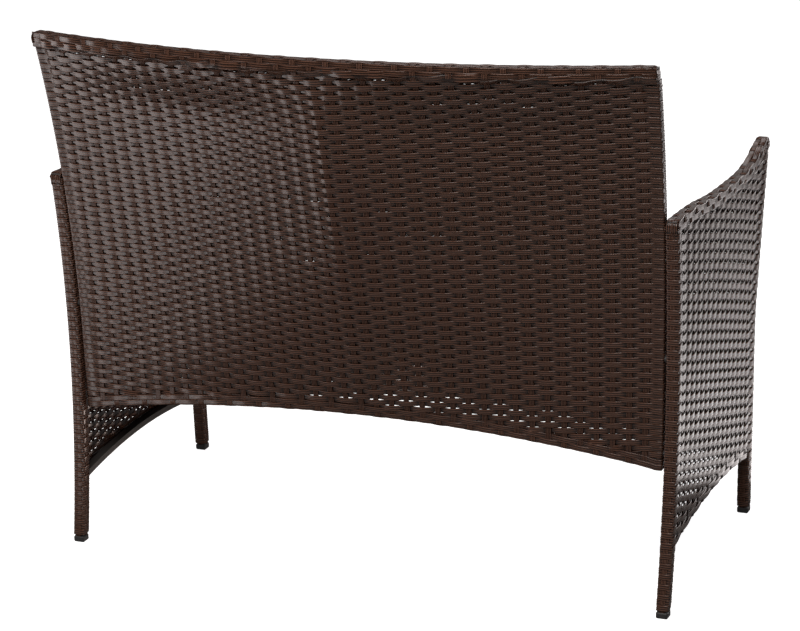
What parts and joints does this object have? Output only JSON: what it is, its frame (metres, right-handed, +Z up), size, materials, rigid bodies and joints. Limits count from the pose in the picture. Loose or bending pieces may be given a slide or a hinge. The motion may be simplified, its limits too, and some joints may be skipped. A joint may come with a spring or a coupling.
{
  "type": "rattan garden sofa",
  "caption": "Garden sofa with a reclined bowed back, scooped arms and an arched apron, in woven plastic rattan on a bolted square steel tube frame.",
  "frame": {"origin": "on the floor, under the middle of the sofa's box", "axes": "+Z up; the sofa faces -Y, so its back is towards +Y; +X runs to the sitter's left"},
  "size_m": [1.06, 0.665, 0.881],
  "materials": {
    "steel_tube": "dark brown-black powder coat",
    "rattan": "dark brown woven plastic strand with grey-brown ribs, satin",
    "foot_plastic": "moulded black",
    "fastener_zinc": "zinc plated"
  },
  "bodies": {
    "root": {"left_front_leg": "steel_tube", "left_rear_leg": "steel_tube", "left_arm_rail": "steel_tube", "left_arch_rail": "steel_tube", "left_seat_support_rail": "steel_tube", "left_frame_winding": "rattan", "left_side_weave": "rattan", "left_front_foot_cap": "foot_plastic", "left_rear_foot_cap": "foot_plastic", "right_front_leg": "steel_tube", "right_rear_leg": "steel_tube", "right_arm_rail": "steel_tube", "right_arch_rail": "steel_tube", "right_seat_support_rail": "steel_tube", "right_frame_winding": "rattan", "right_side_weave": "rattan", "right_front_foot_cap": "foot_plastic", "right_rear_foot_cap": "foot_plastic", "back_left_post": "steel_tube", "back_right_post": "steel_tube", "back_top_rail": "steel_tube", "back_middle_post": "steel_tube", "back_arch_rail": "steel_tube", "back_seat_rail": "steel_tube", "back_winding": "rattan", "back_weave": "rattan", "seat_front_rail": "steel_tube", "seat_rear_rail": "steel_tube", "seat_left_rail": "steel_tube", "seat_right_rail": "steel_tube", "seat_cross_bar_1": "steel_tube", "seat_cross_bar_2": "steel_tube", "seat_cross_bar_3": "steel_tube", "seat_weave": "rattan", "apron_weave": "rattan", "apron_arch_rail": "steel_tube", "apron_left_post": "steel_tube", "apron_right_post": "steel_tube", "left_back_bolt_1": "fastener_zinc", "left_back_bolt_2": "fastener_zinc", "left_back_nut_1": "fastener_zinc", "left_back_nut_2": "fastener_zinc", "left_back_spacer_1": "foot_plastic", "left_back_spacer_2": "foot_plastic", "left_seat_bolt_1": "fastener_zinc", "left_seat_bolt_2": "fastener_zinc", "left_seat_nut_1": "fastener_zinc", "left_seat_nut_2": "fastener_zinc", "right_back_bolt_1": "fastener_zinc", "right_back_bolt_2": "fastener_zinc", "right_back_nut_1": "fastener_zinc", "right_back_nut_2": "fastener_zinc", "right_back_spacer_1": "foot_plastic", "right_back_spacer_2": "foot_plastic", "right_seat_bolt_1": "fastener_zinc", "right_seat_bolt_2": "fastener_zinc", "right_seat_nut_1": "fastener_zinc", "right_seat_nut_2": "fastener_zinc"}
  },
  "joints": []
}
